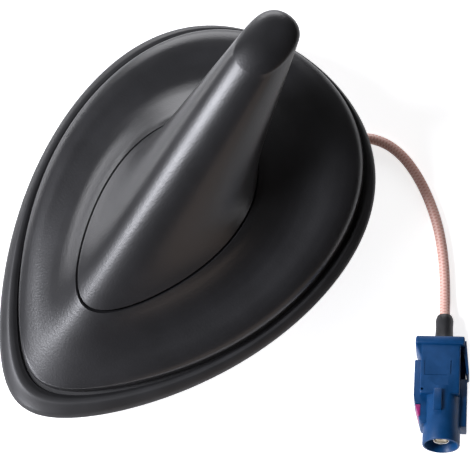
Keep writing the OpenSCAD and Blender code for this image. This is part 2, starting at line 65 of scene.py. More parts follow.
# ---- Coaxial lead ----
# A 2.5 mm coaxial lead: a clear pink-brown jacket drawn tight over a silvered copper braid. It leaves the
# stud's slot, runs under the base along the surface, and comes out by the tail's right side to its plug.
def colour(code):
    """An sRGB hex value as linear red, green, blue and alpha."""
    parts = [int(code[i:i + 2], 16) / 255 for i in (1, 3, 5)]
    return [c / 12.92 if c <= 0.04045 else ((c + 0.055) / 1.055) ** 2.4 for c in parts] + [1.0]


def add(tree, kind, *wires, named=None, **settings):
    """Adds one node with its settings, and gives its inputs, in order or by name, a value or a link."""
    made = tree.nodes.new(kind)
    for key, value in settings.items():
        setattr(made, key, value)
    pairs = list(zip([s for s in made.inputs if s.enabled], wires))
    pairs += [(made.inputs[key], value) for key, value in (named or {}).items()]
    for socket, value in pairs:
        if isinstance(value, bpy.types.Node):
            value = next(s for s in value.outputs if s.enabled)
        if isinstance(value, bpy.types.NodeSocket):
            tree.links.new(value, socket)
        elif value is not None:
            socket.default_value = value
    return made


def new_finish(name):
    """An empty material, its node tree and the piece's Object coordinates."""
    made = bpy.data.materials.new(name)
    made.use_nodes = True
    made.node_tree.nodes.clear()
    return made, made.node_tree, add(made.node_tree, "ShaderNodeTexCoord").outputs["Object"]


def new_tree(name, *inputs):
    """A Geometry Nodes tree with its geometry sockets and named inputs, and what it is given."""
    tree = bpy.data.node_groups.new(name, "GeometryNodeTree")
    tree.interface.new_socket("Geometry", in_out="INPUT", socket_type="NodeSocketGeometry")
    tree.interface.new_socket("Geometry", in_out="OUTPUT", socket_type="NodeSocketGeometry")
    for label, kind in inputs:
        tree.interface.new_socket(label, in_out="INPUT", socket_type="NodeSocket" + kind)
    return tree, add(tree, "NodeGroupInput").outputs


def place_mesh(name, mesh):
    """Puts a mesh in the scene as an object at the origin."""
    piece = bpy.data.objects.new(name, mesh)
    bpy.context.scene.collection.objects.link(piece)
    return piece


def plain(name, live):
    """The evaluated shape of an object with modifiers, as a plain piece. The live one is removed."""
    bpy.context.view_layer.update()
    done = live.evaluated_get(bpy.context.evaluated_depsgraph_get())
    mesh = bpy.data.meshes.new_from_object(done)
    bpy.data.objects.remove(live)
    mesh.name = name
    return place_mesh(name, mesh)


def run_tree(name, source, tree, **values):
    """Runs a tree on a mesh or curve. Each value goes to the input of that name, by its identifier."""
    live = place_mesh(name + " live", source)
    modifier = live.modifiers.new("shape", "NODES")
    modifier.node_group = tree
    for item in tree.interface.items_tree:
        key = item.name.lower().replace(" ", "_")
        if item.in_out == "INPUT" and key in values:
            modifier[item.identifier] = values[key]
    return plain(name, live)


def face_outwards(piece, sharp=None):
    """Points a closed piece's faces outwards and smooths them, apart from edges over the sharp angle."""
    work = bmesh.new()
    work.from_mesh(piece.data)
    bmesh.ops.remove_doubles(work, verts=work.verts, dist=1e-7)
    bmesh.ops.recalc_face_normals(work, faces=work.faces)
    for face in work.faces:
        face.smooth = True
    if sharp:
        for edge in work.edges:
            edge.smooth = edge.calc_face_angle(0.0) < math.radians(sharp)
    work.to_mesh(piece.data)
    work.free()
    return piece


def settle(piece, slot, *stands_for):
    """The piece rides on the one body and stands for those CAD nodes. The slot is not used."""
    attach(piece, "root")
    if stands_for:
        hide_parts(*stands_for)
    return piece


LEAD_D = 2.5
FLOOR_Z = -17
lead_z = FLOOR_Z + LEAD_D / 2
PLUG_HALF_H = 4.6
PLUG_PITCH, PLUG_TURN = math.radians(17), math.radians(-52.5)
SLEEVE_LEN = 7
plug_at = Vector((64.3, 17.1, FLOOR_Z + PLUG_HALF_H * math.cos(PLUG_PITCH)))
in_plug = (Matrix.Translation(plug_at) @ Matrix.Rotation(PLUG_TURN, 4, "Z")
           @ Matrix.Rotation(-PLUG_PITCH, 4, "Y"))
plug_back = in_plug @ Vector((-SLEEVE_LEN, 0, 0))
lead_route = [
    (2.87, 7.47, lead_z), (4.4, 11.5, lead_z), (5.9, 16, lead_z), (7.3, 20.5, lead_z), (8.6, 25, lead_z),
    (9.9, 29.5, lead_z), (11.3, 34, lead_z), (13, 38.3, lead_z), (15.4, 42.2, lead_z),
    (18.8, 45.2, lead_z), (23.1, 46.7, lead_z), (27.7, 46.7, lead_z), (32.2, 45.6, lead_z),
    (36.6, 43.8, lead_z), (40.8, 41.5, lead_z), (44.7, 38.9, lead_z), (48.2, 36, lead_z),
    (51.5, 32.8, lead_z), (54.5, 29.5, lead_z), (57.4, 26, lead_z + 0.15), (58.8, 24.2, lead_z + 0.5),
    tuple(plug_back)]


def smooth_line(points, steps):
    """A Catmull-Rom line through the points, with so many steps between neighbours."""
    p = np.array([points[0], *points, points[-1]], float)
    p[0] = 2 * p[1] - p[2]
    p[-1] = 2 * p[-2] - p[-3]
    line = []
    for i in range(1, len(p) - 2):
        for t in np.arange(steps) / steps:
            line.append(0.5 * (2 * p[i] + (p[i + 1] - p[i - 1]) * t
                               + (2 * p[i - 1] - 5 * p[i] + 4 * p[i + 1] - p[i + 2]) * t ** 2
                               + (3 * (p[i] - p[i + 1]) + p[i + 2] - p[i - 1]) * t ** 3))
    return line + [p[-2]]


# The tree sweeps a round section along the lead, and keeps how far along and which way out each point
# lies, for the braid.
sweep_tree, given = new_tree("lead sweep", ("Diameter", "Float"), ("Sides", "Int"), ("Material", "Material"))
tree = sweep_tree
along = add(tree, "GeometryNodeStoreNamedAttribute", given["Geometry"], None, "along",
            add(tree, "GeometryNodeSplineParameter").outputs["Length"], data_type="FLOAT", domain="POINT")
radius = add(tree, "ShaderNodeMath", given["Diameter"], 0.5, operation="MULTIPLY")
ring = add(tree, "GeometryNodeCurvePrimitiveCircle", named={"Resolution": given["Sides"], "Radius": radius})
outward = add(tree, "ShaderNodeVectorMath", add(tree, "GeometryNodeInputPosition"), operation="NORMALIZE")
around = add(tree, "GeometryNodeStoreNamedAttribute", ring, None, "around", outward,
             data_type="FLOAT_VECTOR", domain="POINT")
swept = add(tree, "GeometryNodeCurveToMesh", named={"Curve": along, "Profile Curve": around, "Fill Caps": True})
whole = add(tree, "GeometryNodeRealizeInstances", swept)
add(tree, "NodeGroupOutput", add(tree, "GeometryNodeSetMaterial", whole, None, given["Material"]))

# Clear fluoroplastic, extruded over silvered braid, gives the eye a warm pink skin with a soft glint and a
# faint cross-hatch. The real strands are too fine to show here, so they are drawn 0.8 mm apart.
jacket, tree, place = new_finish("extruded clear pink-brown jacket over silvered braid")
BRAID_PITCH, STRANDS = 3.2 * MM, 4
BRAID_RELIEF, CLOUD = 0.04 * MM, 1.7 * MM
along = add(tree, "ShaderNodeAttribute", attribute_name="along").outputs["Fac"]
around = add(tree, "ShaderNodeSeparateXYZ",
             add(tree, "ShaderNodeAttribute", attribute_name="around").outputs["Vector"])
angle = add(tree, "ShaderNodeMath", around.outputs["Y"], around.outputs["X"], operation="ARCTAN2")
wound = add(tree, "ShaderNodeMath", angle, STRANDS, operation="MULTIPLY")
run = add(tree, "ShaderNodeMath", along, 2 * math.pi * STRANDS / BRAID_PITCH, operation="MULTIPLY")
left_lay = add(tree, "ShaderNodeMath", add(tree, "ShaderNodeMath", run, wound), operation="SINE")
apart = add(tree, "ShaderNodeMath", run, wound, operation="SUBTRACT")
right_lay = add(tree, "ShaderNodeMath", apart, operation="SINE")
braid = add(tree, "ShaderNodeMath", left_lay, right_lay, operation="MAXIMUM")
strand = add(tree, "ShaderNodeMapRange", braid, -0.2, 1.0, 0.0, 1.0)
cloud = add(tree, "ShaderNodeTexNoise", place, 1 / CLOUD, 3.0)
between_strands = add(tree, "ShaderNodeMix", cloud, colour("#e3a99c"), colour("#d29586"), data_type="RGBA")
shown = add(tree, "ShaderNodeMix", strand, between_strands, colour("#efc8bc"), data_type="RGBA")
gloss = add(tree, "ShaderNodeMapRange", strand, 0.0, 1.0, 0.42, 0.28)
bump = add(tree, "ShaderNodeBump", named={"Height": strand, "Strength": 0.35, "Distance": BRAID_RELIEF})
surface = add(tree, "ShaderNodeBsdfPrincipled", named={
    "Base Color": shown, "Roughness": gloss, "Normal": bump, "IOR": 1.38,
    "Coat Weight": 0.3, "Coat Roughness": 0.2})
add(tree, "ShaderNodeOutputMaterial", surface)

lead_line = [Vector(p) * MM for p in smooth_line(lead_route, 8)]
curve = bpy.data.curves.new("lead line", "CURVE")
curve.dimensions = "3D"
spline = curve.splines.new("POLY")
spline.points.add(len(lead_line) - 1)
spline.points.foreach_set("co", [c for p in lead_line for c in (*p, 1.0)])
lead = run_tree("coaxial_lead", curve, sweep_tree, diameter=LEAD_D * MM, sides=32, material=jacket)
for polygon in lead.data.polygons:
    polygon.use_smooth = polygon.loop_total == 4
settle(lead, "lead_jacket", "lead")


# ---- Plug sleeve ----
# A short black sleeve, shrunk over the crimp where the lead enters the plug, so its back edge rolls in
# on the lead and its wall shows the steps under it.
def mottled(name, dark, light, patch, rough, grain, height, more={}):
    """A finish whose colour and gloss drift in patches, under an even grain. Sizes in millimetres."""
    made, tree, place = new_finish(name)
    drift = add(tree, "ShaderNodeTexNoise", place, 1 / (patch * MM), 4.0, 0.6)
    share = add(tree, "ShaderNodeMapRange", drift, 0.25, 0.75, 0.0, 1.0)
    tint = add(tree, "ShaderNodeMix", share, colour(dark), colour(light), data_type="RGBA")
    gloss = add(tree, "ShaderNodeMapRange", share, 0.0, 1.0, rough[0], rough[1])
    fine = add(tree, "ShaderNodeTexNoise", place, 1 / (grain * MM), 2.0, 0.5)
    bump = add(tree, "ShaderNodeBump", named={"Height": fine, "Strength": 1.0, "Distance": height * MM})
    surface = add(tree, "ShaderNodeBsdfPrincipled", named={
        "Base Color": tint, "Roughness": gloss, "Normal": bump, **more})
    add(tree, "ShaderNodeOutputMaterial", surface)
    return made


def turned(profile, sides=64, looped=False):
    """A turned shape about +X, from points (along, radius) in millimetres."""
    work = bmesh.new()
    rows = [[work.verts.new((x, r * math.cos(a), r * math.sin(a)))
             for a in (2 * math.pi * k / sides for k in range(sides))] for x, r in profile]
    for near, far in zip(rows, rows[1:] + (rows[:1] if looped else [])):
        for k in range(sides):
            q = (k + 1) % sides
            work.faces.new((near[k], near[q], far[q], far[k]))
    bmesh.ops.remove_doubles(work, verts=work.verts, dist=1e-4)
    return work


def shaped(name, work):
    """A shape as an object, still in millimetres. The shape is used up."""
    mesh = bpy.data.meshes.new(name)
    work.to_mesh(mesh)
    work.free()
    return place_mesh(name, mesh)


def coated(piece, finish):
    """Gives a piece or a CAD node its one finish."""
    piece.data.materials.clear()
    piece.data.materials.append(finish)
    return piece


def in_metres(piece, finish, where=Matrix.Identity(4), sharp=35):
    """Turns a piece made in millimetres to metres, put where the matrix says, and finishes it."""
    piece.data.transform(Matrix.Scale(MM, 4) @ where)
    return face_outwards(coated(piece, finish), sharp)


# Polyolefin, shrunk on with hot air, gives the eye a dull, slightly uneven black with no grain to speak of.
sleeve_finish = mottled("shrunk black polyolefin sleeve", "#17171a", "#242427", 2.0, (0.42, 0.55), 0.25, 0.01)
lead_r = LEAD_D / 2
sleeve = in_metres(shaped("plug_sleeve", turned([
    (-SLEEVE_LEN, 0), (-SLEEVE_LEN, lead_r + 0.25), (-SLEEVE_LEN + 0.12, lead_r + 0.5),
    (-SLEEVE_LEN + 0.6, 1.92), (-SLEEVE_LEN + 1.1, 2.06), (-5.1, 2.04), (-4.2, 2.0), (-3.2, 2.02),
    (-2.2, 2.06), (-1.3, 2.08), (-0.85, 2.16), (-0.5, 2.24), (0.3, 2.25), (0.3, 0)])), sleeve_finish, in_plug)
settle(sleeve, "boot_sleeve", "plug_boot")


# ---- Plug housing ----
# The plug's blue housing, moulded in one shot: a lipped collar, a box with a latch tongue slit into its
# top, a spring arm on the right, two wings and a key rib along the round nose.
def prism(outline, z0, z1, soft):
    """An upright prism on an outline in millimetres, with its edges rounded off by soft."""
    work = bmesh.new()
    low, high = ([work.verts.new((x, y, z)) for x, y in outline] for z in (z0, z1))
    work.faces.new(low[::-1])
    work.faces.new(high)
    for i in range(len(outline)):
        j = (i + 1) % len(outline)
        work.faces.new((low[i], low[j], high[j], high[i]))
    if soft:
        bmesh.ops.bevel(work, geom=work.edges[:], offset=soft, segments=3, profile=0.5, affect="EDGES",
                        clamp_overlap=True)
    return work


def block(x0, x1, y0, y1, z0, z1, soft=0.0):
    """A box between two corners, with its edges rounded off by soft."""
    return prism([(x0, y0), (x1, y0), (x1, y1), (x0, y1)], z0, z1, soft)


def between(a, b, k):
    """What lies at a share of the way from one value to another."""
    return a + (b - a) * k


def carved(name, first, *steps):
    """Adds and cuts shapes one after another, and gives the result as a live piece in millimetres."""
    shapes = []
    for i, work in enumerate([first] + [shape for _, shape in steps]):
        bmesh.ops.recalc_face_normals(work, faces=work.faces)
        shapes.append(shaped(f"{name} {i}", work))
    body = shapes[0]
    for (operation, _), tool in zip(steps, shapes[1:]):
        modifier = body.modifiers.new("carve", "BOOLEAN")
        modifier.operation = operation
        modifier.solver = "EXACT"
        modifier.object = tool
    done = plain(name, body)
    for tool in shapes[1:]:
        bpy.data.objects.remove(tool)
    return done


# In the plug's own frame +X runs to the mouth, the origin is the middle of the collar's back, and left is -Y.
PLUG_BOX, NOSE_LEN = 13.6, 12
NOSE_D, NOSE_WALL, NOSE_FREE = 8.4, 0.8, 4.2
BODY_LEFT, BODY_RIGHT = -5.0, 3.95
COLLAR_LEFT, COLLAR_RIGHT, COLLAR_L, COLLAR_TOP = -6.35, 4.85, 2.2, 0.5
WING_FLOOR = -3.2
LEFT_WING_X, LEFT_WING_Y, LEFT_WING_END_Y, LEFT_WING_TOP = 5.5, -6.4, -4.7, 2.6
RIGHT_WING_X, RIGHT_WING_Y, RIGHT_WING_TOP = 9.5, 5.55, 1.2
LOCK_L, LOCK_IN = 2.8, -4.75
RIB_W, RIB_L, RIB_Y, RIB_TOP = 1.9, 4.9, -0.9, NOSE_D / 2 + 0.85
CONTACT_D = 3.8
TONGUE_X0, TONGUE_X1, TONGUE_Y0, TONGUE_Y1, SLIT_DEPTH = 6.2, 10.07, -4.0, 1.75, 0.12
half_h = PLUG_HALF_H
plug_len = PLUG_BOX + NOSE_LEN
body_end, body_top = PLUG_BOX + 0.9, half_h - COLLAR_TOP
nose_r, nose_start = NOSE_D / 2, plug_len - NOSE_FREE
bore_r = nose_r - NOSE_WALL
contact_r, contact_start = CONTACT_D / 2, PLUG_BOX - 4
wing_end = nose_start - 0.1
taper_x, lock_x = PLUG_BOX + 1.2, PLUG_BOX + 2.95

housing = carved(
    "plug_housing_moulding",
    prism([(0.25, COLLAR_LEFT + 0.1), (0.25, COLLAR_RIGHT), (COLLAR_L, COLLAR_RIGHT),
           (COLLAR_L, COLLAR_LEFT + 0.1)], -half_h, half_h, 0.45),
    ("UNION", block(COLLAR_L - 0.9, body_end, BODY_LEFT, BODY_RIGHT, -half_h, body_top, 0.35)),
    # The collar's left end runs out towards the body, and the spring arm stands off on the right.
    ("UNION", prism([(0.5, BODY_LEFT + 0.5), (0.5, COLLAR_LEFT), (COLLAR_L, COLLAR_LEFT),
                     (5.4, BODY_LEFT - 0.15), (5.4, BODY_LEFT + 0.5)], -2.4, half_h - 0.6, 0.3)),
    ("UNION", prism([(0.5, BODY_RIGHT - 0.4), (0.5, 5.2), (8.6, RIGHT_WING_Y + 0.4), (9, RIGHT_WING_Y + 0.1),
                     (8.6, RIGHT_WING_Y - 0.2), (4, 4.8), (COLLAR_L + 0.2, BODY_RIGHT - 0.4)], -2, 2.6, 0.12)),
    ("UNION", prism([(COLLAR_L, 3), (COLLAR_L, 4.9), (9.2, RIGHT_WING_Y - 0.3), (9.6, RIGHT_WING_Y - 0.4),
                     (9.6, 3)], WING_FLOOR, -2.2, 0.12)),
    # The wings, the lock's slot in the left one, and the key rib on the nose's root.
    ("UNION", prism([(RIGHT_WING_X, 0), (RIGHT_WING_X, RIGHT_WING_Y), (wing_end, RIGHT_WING_Y),
                     (wing_end, 0)], WING_FLOOR, RIGHT_WING_TOP, 0.25)),
    ("UNION", prism([(LEFT_WING_X, 0), (wing_end, 0), (wing_end, LEFT_WING_END_Y),
                     (taper_x + 1.6, LEFT_WING_Y + 0.35), (taper_x - 0.4, LEFT_WING_Y),
                     (LEFT_WING_X, LEFT_WING_Y)], WING_FLOOR, LEFT_WING_TOP, 0.3)),
    ("DIFFERENCE", block(lock_x, lock_x + LOCK_L + 0.2, LEFT_WING_Y - 1, LOCK_IN, WING_FLOOR + 0.3, half_h)),
    ("UNION", block(body_end - 0.8, PLUG_BOX + RIB_L + 0.3, RIB_Y - RIB_W / 2, RIB_Y + RIB_W / 2, 0, RIB_TOP,
                    0.2)),
    # The round nose with its bore and flared mouth, and the ways through for the contact and the lead.
    ("UNION", turned([(PLUG_BOX - 1, 0), (PLUG_BOX - 1, nose_r + 0.15), (nose_start, nose_r),
                      (plug_len - 0.3, nose_r), (plug_len - 0.08, nose_r - 0.08),
                      (plug_len, nose_r - 0.25), (plug_len, 0)], 96)),
    ("DIFFERENCE", turned([(PLUG_BOX + 1, 0), (PLUG_BOX + 1, bore_r), (plug_len - 0.6, bore_r),
                           (plug_len - 0.05, bore_r + 0.3), (plug_len + 1, bore_r + 0.7),
                           (plug_len + 1, 0)], 96)),
    ("DIFFERENCE", turned([(contact_start, 0), (contact_start, contact_r + 0.1),
                           (PLUG_BOX + 2, contact_r + 0.1), (PLUG_BOX + 2, 0)])),
    ("DIFFERENCE", turned([(-1, 0), (-1, 1.8), (PLUG_BOX - 3, 1.8), (PLUG_BOX - 3, 0)])),
    # The latch tongue's three slits and an ejector mark on the top.
    ("DIFFERENCE", block(TONGUE_X0, 9.7, TONGUE_Y1, TONGUE_Y1 + 0.18, body_top - 0.5, half_h)),
    ("DIFFERENCE", block(TONGUE_X1 - 0.12, TONGUE_X1, TONGUE_Y0, 1.0, body_top - SLIT_DEPTH, half_h)),
    ("DIFFERENCE", block(TONGUE_X0, TONGUE_X1, TONGUE_Y0 - 0.12, TONGUE_Y0, body_top - SLIT_DEPTH, half_h)),
    ("DIFFERENCE", block(13.3, 13.85, -4.8, -4.25, body_top - 0.6, half_h)),
)
# Polyamide, moulded in a smooth tool, gives the eye an even deep blue with a soft, broad sheen.
blue = mottled("moulded blue polyamide", "#003a68", "#004479", 1.6, (0.38, 0.48), 0.18, 0.003, {"IOR": 1.42})
settle(in_metres(housing, blue, in_plug, 32), "plug_plastic", "plug_housing")


# ---- Plug lock ----
# A pink secondary lock, pushed sideways into the left wing's slot, flush with the wing's taper.
def left_wing_edge(x):
    """How far out the left wing's tapered edge lies at a place along the plug."""
    return between(LEFT_WING_Y + 0.35, LEFT_WING_END_Y, (x - taper_x - 1.6) / (wing_end - taper_x - 1.6))


lock_x0, lock_x1 = lock_x + 0.1, lock_x + 0.1 + LOCK_L
lock = carved(
    "plug_lock_clip",
    prism([(lock_x0, LOCK_IN), (lock_x0, left_wing_edge(lock_x0)), (lock_x1, left_wing_edge(lock_x1)),
           (lock_x1, LOCK_IN)], WING_FLOOR + 0.4, LEFT_WING_TOP - 0.1, 0.15),
    ("DIFFERENCE", turned([(lock_x - 1, 0), (lock_x - 1, nose_r + 0.15), (lock_x1 + 1, nose_r + 0.15),
                           (lock_x1 + 1, 0)], 96)))
# The same polyamide in the code's pink: the eye gets one small bright patch in the blue.
pink = mottled("moulded pink polyamide", "#8f1c62", "#a82878", 1.0, (0.35, 0.45), 0.15, 0.004)
settle(in_metres(lock, pink, in_plug, 32), "lock_plastic", "plug_lock")


# ---- Plug contacts ----
# A turned outer contact, tin plated bright, round a white insulator and a gold-plated centre contact.
# They stop short of the housing's mouth, and a tinned ferrule clamps the braid behind them.
METAL = {"Metallic": 1.0}
# Tin plate over turned brass gives the eye the one bright metal in view, a pale ring with small sharp glints.
tin_plate = mottled("bright tin plate on brass", "#c9c8c4", "#dddcd8", 0.8, (0.16, 0.26), 0.3, 0.002, METAL)
contact_end = plug_len - 1.2
contact = in_metres(shaped("plug_contact_tube", turned([
    (contact_start, 1.55), (contact_start, contact_r), (contact_end - 0.25, contact_r),
    (contact_end - 0.06, 1.84), (contact_end, 1.72), (contact_end - 0.04, 1.6),
    (contact_end - 0.2, 1.55)], 64, True)), tin_plate, in_plug)
settle(contact, "contact_metal", "plug_outer_contact")

# Turned fluoroplastic gives the eye a milky, waxy white, softer than the metal round it.
white_plastic = mottled("turned white fluoroplastic", "#cfc3a8", "#ded4bd", 0.6, (0.4, 0.5), 0.2, 0.003)
insulator = in_metres(shaped("plug_insulator_core", turned([
    (contact_start, 0.55), (contact_start, 1.45), (plug_len - 1.75, 1.45), (plug_len - 1.6, 1.3),
    (plug_len - 1.6, 0.75), (plug_len - 1.75, 0.55)], 48, True)), white_plastic, in_plug)
settle(insulator, "insulator_plastic", "plug_insulator")

# Gold plate over bronze gives the eye a warm, shiny dot in the mouth's middle.
gold = mottled("gold plate on bronze", "#d8a94a", "#e8c06a", 0.5, (0.2, 0.3), 0.2, 0.002, METAL)
pin = in_metres(shaped("plug_centre_pin", turned([
    (contact_start, 0), (contact_start, 0.45), (plug_len - 2.05, 0.45), (plug_len - 1.85, 0.33),
    (plug_len - 1.8, 0)], 32)), gold, in_plug)
settle(pin, "centre_metal", "plug_centre_contact")

# Tinned brass tube, crimped, gives the eye a metal duller and yellower than the contact.
ferrule = mottled("tinned brass ferrule", "#a89e7c", "#bdb391", 0.8, (0.3, 0.42), 0.3, 0.004, METAL)
coated(cad["plug_ferrule"], ferrule)


# ---- Rubber skirt ----
# A soft black rubber skirt, moulded as one ring. Its edge is thin, its crest is rounded, and the cover's
# rim stands on a ledge inside the crest, so a dark groove runs round the cover.
BASE_LEN, BASE_W, STUD_BACK = 104.4, 76.0, 0.5364 * 104.4
SKIRT_NOSE, SKIRT_SIDE, SKIRT_TAIL = 7.0, 3.3, 0.7
CREST_Z, TAIL_CREST_Z, LEDGE_Z, EDGE_Z, LEDGE_IN = 2.7, 1.7, 1.4, 0.6, 4.4
GROOVE = 0.85  # how much of the way in to the rim the crest takes up
EGG = np.arange(1, 400) / 400  # shares of an outline's length, at which its widest place is looked for
SKIRT_RINGS_A_ROW, SKIRT_SIDES = 8, 256
# Nine numbers make an outline: front, back, width, three terms of the cubic that fills it out, and its
# height at the front, at the sides and at the back.
base_outline = np.array([0, BASE_LEN, BASE_W, 1.74, -1.71, 1.13, 0, 0, 0], float)
rim = np.array([SKIRT_NOSE, BASE_LEN - SKIRT_TAIL, BASE_W - 2 * SKIRT_SIDE, 2.37, -2.77, 1.57,
                LEDGE_Z, LEDGE_Z, LEDGE_Z], float)


def drawn_in(outline, by):
    """An outline made smaller by a distance all round."""
    return outline + np.array([by, -by, -2 * by, 0, 0, 0, 0, 0, 0])


def at_height(outline, z):
    """An outline put level at one height, or at three for its front, sides and back."""
    return np.array([*outline[:6], *np.broadcast_to(z, 3)])


def flowing(rows, places):
    """Outlines at any place along a list of them, on a curve that never overshoots a row."""
    rows = np.array(rows, float)
    step = np.diff(rows, axis=0)
    before, after = step[:-1], step[1:]
    slope = np.vstack([step[:1], np.zeros_like(before), step[-1:]])
    same = before * after > 0
    slope[1:-1][same] = (2 * before[same] * after[same]) / (before[same] + after[same])
    out = []
    for u in places:
        i = min(int(u), len(rows) - 2)
        t = u - i
        out.append(rows[i] * (1 + 2 * t) * (1 - t) ** 2 + slope[i] * t * (1 - t) ** 2
                   + rows[i + 1] * t * t * (3 - 2 * t) + slope[i + 1] * t * t * (t - 1))
    return out


def rolled_grid(tree, rings, around):
    """Nodes for a grid that will be rolled up: its mesh, and each point's row and angle."""
    columns = add(tree, "ShaderNodeMath", around, 1.0, operation="ADD")
    grid = add(tree, "GeometryNodeMeshGrid", named={"Vertices X": rings, "Vertices Y": columns})
    index = add(tree, "GeometryNodeInputIndex")
    middle = add(tree, "ShaderNodeMath", index, 0.5, operation="ADD")
    row = add(tree, "ShaderNodeMath", add(tree, "ShaderNodeMath", middle, columns, operation="DIVIDE"),
              operation="FLOOR")
    start = add(tree, "ShaderNodeMath", row, columns, operation="MULTIPLY")
    column = add(tree, "ShaderNodeMath", index, start, operation="SUBTRACT")
    share = add(tree, "ShaderNodeMath", column, around, operation="DIVIDE")
    return grid.outputs["Mesh"], row, add(tree, "ShaderNodeMath", share, 2 * math.pi, operation="MULTIPLY")


def rolled_up(tree, mesh, place, material):
    """Nodes that put a grid's points in place, close its seam and poles, and give it its finish."""
    laid = add(tree, "GeometryNodeSetPosition", mesh, None, place)
    closed = add(tree, "GeometryNodeMergeByDistance", named={"Geometry": laid, "Distance": 1e-7})
    whole = add(tree, "GeometryNodeRealizeInstances", closed)
    add(tree, "NodeGroupOutput", add(tree, "GeometryNodeSetMaterial", whole, None, material))


# The tree lays one ring of points on each outline: egg-shaped in plan, with its height eased from front
# to sides to back. It is given a mesh with one point for each outline.
ring_tree, given = new_tree("moulded rings", ("Rings", "Int"), ("Around", "Int"), ("Material", "Material"))
tree = ring_tree
mesh, row, angle = rolled_grid(tree, given["Rings"], given["Around"])
rows = {}
for key in ("ends", "fullness", "heights"):
    stored = add(tree, "GeometryNodeInputNamedAttribute", key, data_type="FLOAT_VECTOR")
    sampled = add(tree, "GeometryNodeSampleIndex", given["Geometry"], stored, row,
                  data_type="FLOAT_VECTOR", domain="POINT")
    rows[key] = add(tree, "ShaderNodeSeparateXYZ", sampled).outputs
front, back, reach = rows["ends"]
cosine = add(tree, "ShaderNodeMath", angle, operation="COSINE")
t = add(tree, "ShaderNodeMath", cosine, -0.5, 0.5, operation="MULTIPLY_ADD")
cubic = add(tree, "ShaderNodeMath", rows["fullness"][2], t, rows["fullness"][1], operation="MULTIPLY_ADD")
square = add(tree, "ShaderNodeMath", cubic, t, rows["fullness"][0], operation="MULTIPLY_ADD")
full = add(tree, "ShaderNodeMath", square, t, 1.0, operation="MULTIPLY_ADD")
sine = add(tree, "ShaderNodeMath", angle, operation="SINE")
half = add(tree, "ShaderNodeMath", sine, reach, operation="MULTIPLY")
x = add(tree, "ShaderNodeMath", half, full, operation="MULTIPLY")
span = add(tree, "ShaderNodeMath", back, front, operation="SUBTRACT")
y = add(tree, "ShaderNodeMath", span, t, front, operation="MULTIPLY_ADD")
z_front, z_side, z_back = rows["heights"]
ahead = add(tree, "ShaderNodeMath", add(tree, "ShaderNodeMath", 1.0, t, operation="SUBTRACT"), 3.0,
            operation="POWER")
behind = add(tree, "ShaderNodeMath", t, t, operation="MULTIPLY")
rise = add(tree, "ShaderNodeMath", z_front, z_side, operation="SUBTRACT")
fall = add(tree, "ShaderNodeMath", z_back, z_side, operation="SUBTRACT")
z = add(tree, "ShaderNodeMath", rise, ahead, z_side, operation="MULTIPLY_ADD")
z = add(tree, "ShaderNodeMath", fall, behind, z, operation="MULTIPLY_ADD")
rolled_up(tree, mesh, add(tree, "ShaderNodeCombineXYZ", x, y, z), given["Material"])


def ringed(name, outlines, around, material):
    """A closed moulding through a list of outlines in millimetres."""
    o = np.array(outlines, float)
    full = 1 + np.outer(o[:, 3], EGG) + np.outer(o[:, 4], EGG ** 2) + np.outer(o[:, 5], EGG ** 3)
    widest = (np.sqrt(EGG * (1 - EGG)) * full).max(axis=1)
    ends = np.stack([(o[:, 0] - STUD_BACK) * MM, (o[:, 1] - STUD_BACK) * MM, o[:, 2] * MM / 4 / widest], 1)
    mesh = bpy.data.meshes.new(name + " outlines")
    mesh.from_pydata([(0, 0, 0)] * len(o), [], [])
    for key, values in (("ends", ends), ("fullness", o[:, 3:6]), ("heights", o[:, 6:9] * MM)):
        mesh.attributes.new(key, "FLOAT_VECTOR", "POINT").data.foreach_set("vector", values.ravel())
    piece = run_tree(name, mesh, ring_tree, rings=len(o), around=around, material=material)
    return face_outwards(piece, 40)


# EPDM rubber, moulded in a dull tool, gives the eye nearly the cover's black with a softer, duller sheen.
rubber = mottled("moulded black EPDM rubber", "#1f1f20", "#29292b", 9.0, (0.4, 0.48), 0.35, 0.008)
crest = np.array([CREST_Z, between(TAIL_CREST_Z, CREST_Z, 0.3), TAIL_CREST_Z])
soft_top = [
    at_height(base_outline, EDGE_Z),
    at_height(between(base_outline, rim, 0.12), between(EDGE_Z, crest, 0.42)),
    at_height(between(base_outline, rim, 0.52), crest),
    at_height(between(base_outline, rim, 0.7), between(LEDGE_Z, crest, 0.9)),
    at_height(between(base_outline, rim, GROOVE), between(LEDGE_Z, crest, 0.5))]
crest_places = np.arange(0, (len(soft_top) - 1) * SKIRT_RINGS_A_ROW + 1) / SKIRT_RINGS_A_ROW
skirt = ringed("rubber_skirt", [
    at_height(drawn_in(base_outline, 0.1), 0), at_height(base_outline, 0.15), at_height(base_outline, 0.5),
    *flowing(soft_top, crest_places),
    at_height(between(base_outline, rim, GROOVE + 0.02), LEDGE_Z), at_height(drawn_in(rim, LEDGE_IN), LEDGE_Z),
    at_height(drawn_in(rim, LEDGE_IN), 0), at_height(drawn_in(base_outline, 0.1), 0)], SKIRT_SIDES, rubber)
settle(skirt, "skirt_rubber", "skirt_seal")


# ---- Cover ----
# The lower cover, moulded in black plastic: a rounded rim inside the skirt, a flat bowl, and flanks that
# sweep up to the seam. Its wall is the same all over, and four screws hold it from below.
WALL, SEAM_GAP, SEAM_DROP = 1.8, 0.6, 0.2
BEAD_Z, BOWL_Z, NOSE_Z = 6.4, 6.1, 4.1
SEAM_Z, FIN_Z = 11.8, 37.4
SEAM_W, TOP_W = 31.8, 11.8
seam_front, seam_back = 0.256 * BASE_LEN, 0.769 * BASE_LEN
top_front, top_len = 0.8314 * BASE_LEN, 0.151 * BASE_LEN
seam = np.array([seam_front, seam_back, SEAM_W, 0.62, 0.45, -0.59,
                 SEAM_Z, SEAM_Z - SEAM_DROP, SEAM_Z - 2 * SEAM_DROP])
bead_rise = BEAD_Z - LEDGE_Z
